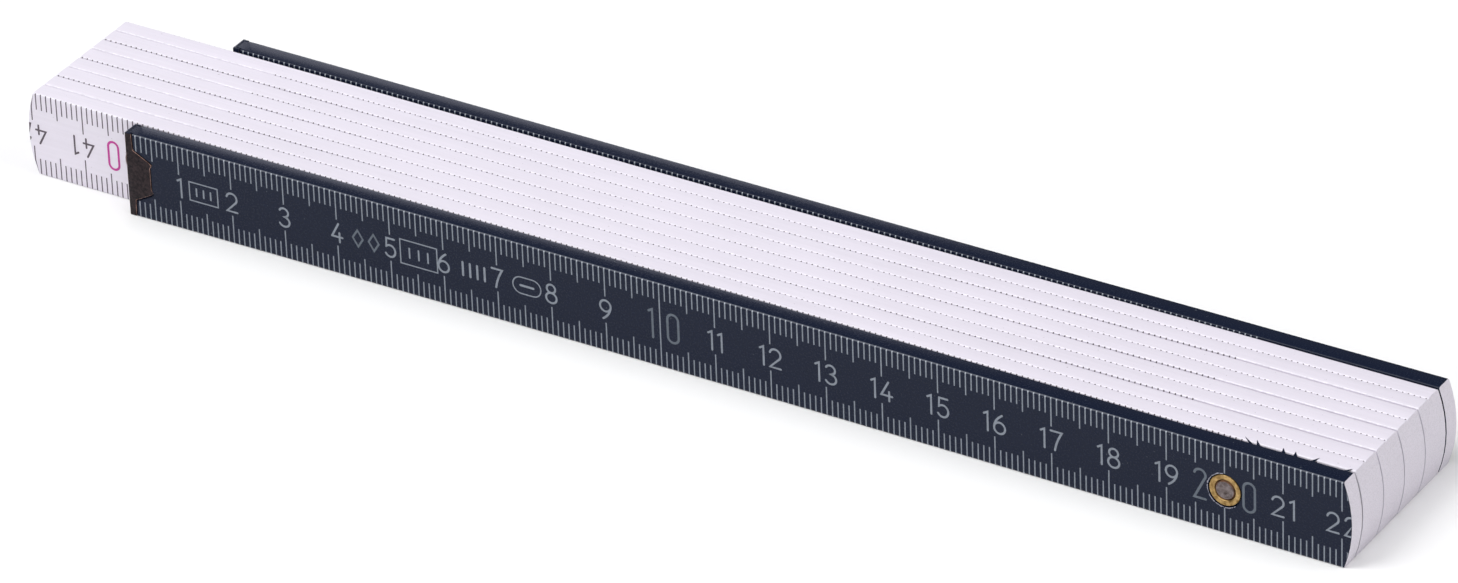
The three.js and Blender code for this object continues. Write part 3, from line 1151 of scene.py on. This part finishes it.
def make_camera():
    """A long lens from the front right, looking down on the rule."""
    data = bpy.data.cameras.new("camera")
    data.lens = VIEW_LENS
    data.clip_start = 0.01
    data.clip_end = 100
    obj = bpy.data.objects.new("camera", data)
    back = direction(VIEW_AZIMUTH, VIEW_ELEVATION)
    place = Matrix.Translation(VIEW_TARGET + back * VIEW_DISTANCE)
    obj.matrix_world = place @ facing(back, VIEW_ROLL)
    bpy.context.scene.collection.objects.link(obj)
    bpy.context.scene.camera = obj


def make_light(name, azimuth, elevation, spread, strength):
    """A broad light far away, spread degrees across, so every pose is lit alike."""
    data = bpy.data.lights.new(name, "SUN")
    data.angle = math.radians(spread)
    data.energy = strength
    obj = bpy.data.objects.new(name, data)
    obj.matrix_world = facing(direction(azimuth, elevation))
    bpy.context.scene.collection.objects.link(obj)


def make_glow_panel():
    """A low pale panel behind the rule, mirrored in the black paint at its left."""
    data = bpy.data.lights.new("glow_panel", "AREA")
    data.shape = "RECTANGLE"
    data.size, data.size_y = PANEL_SIZE
    data.energy = PANEL_POWER
    data.color = PANEL_COLOUR
    obj = bpy.data.objects.new("glow_panel", data)
    obj.matrix_world = Matrix.Translation(PANEL_PLACE) @ facing(direction(*PANEL_FACING))
    obj.visible_diffuse = False
    obj.visible_camera = False
    bpy.context.scene.collection.objects.link(obj)


def make_floor():
    """A plain pale floor, wide enough for every view."""
    half = 30
    corners = [(-half, -half, 0), (half, -half, 0), (half, half, 0), (-half, half, 0)]
    nodes = Nodes("pale_floor")
    uneven = nodes.noise((0.01, 0.01, 0.01), 3)
    stops = [(0.3, (0.90, 0.90, 0.90)), (0.7, (0.92, 0.92, 0.92))]
    nodes.set("Base Color", nodes.ramp(uneven, stops))
    nodes.set("Roughness", 0.9)
    nodes.set("Specular IOR Level", 0.1)
    floor = object_from("floor", corners, [(0, 1, 2, 3)], [nodes.material])


def make_world():
    """Faint light from all round."""
    world = bpy.data.worlds.new("studio")
    bpy.context.scene.world = world
    world.use_nodes = True
    background = world.node_tree.nodes["Background"]
    background.inputs["Color"].default_value = (0.95, 0.96, 1.0, 1)
    background.inputs["Strength"].default_value = 0.175


make_camera()
make_floor()
make_world()
make_light("key_left", -50, 55, 36, 1.86)
make_light("overhead", 0, 88, 50, 0.78)
make_light("front_fill", 15, 25, 36, 0.72)
make_light("right_fill", 100, 45, 36, 0.81)
make_glow_panel()
bpy.context.scene.view_settings.view_transform = "Standard"
bpy.context.scene.view_settings.look = "None"
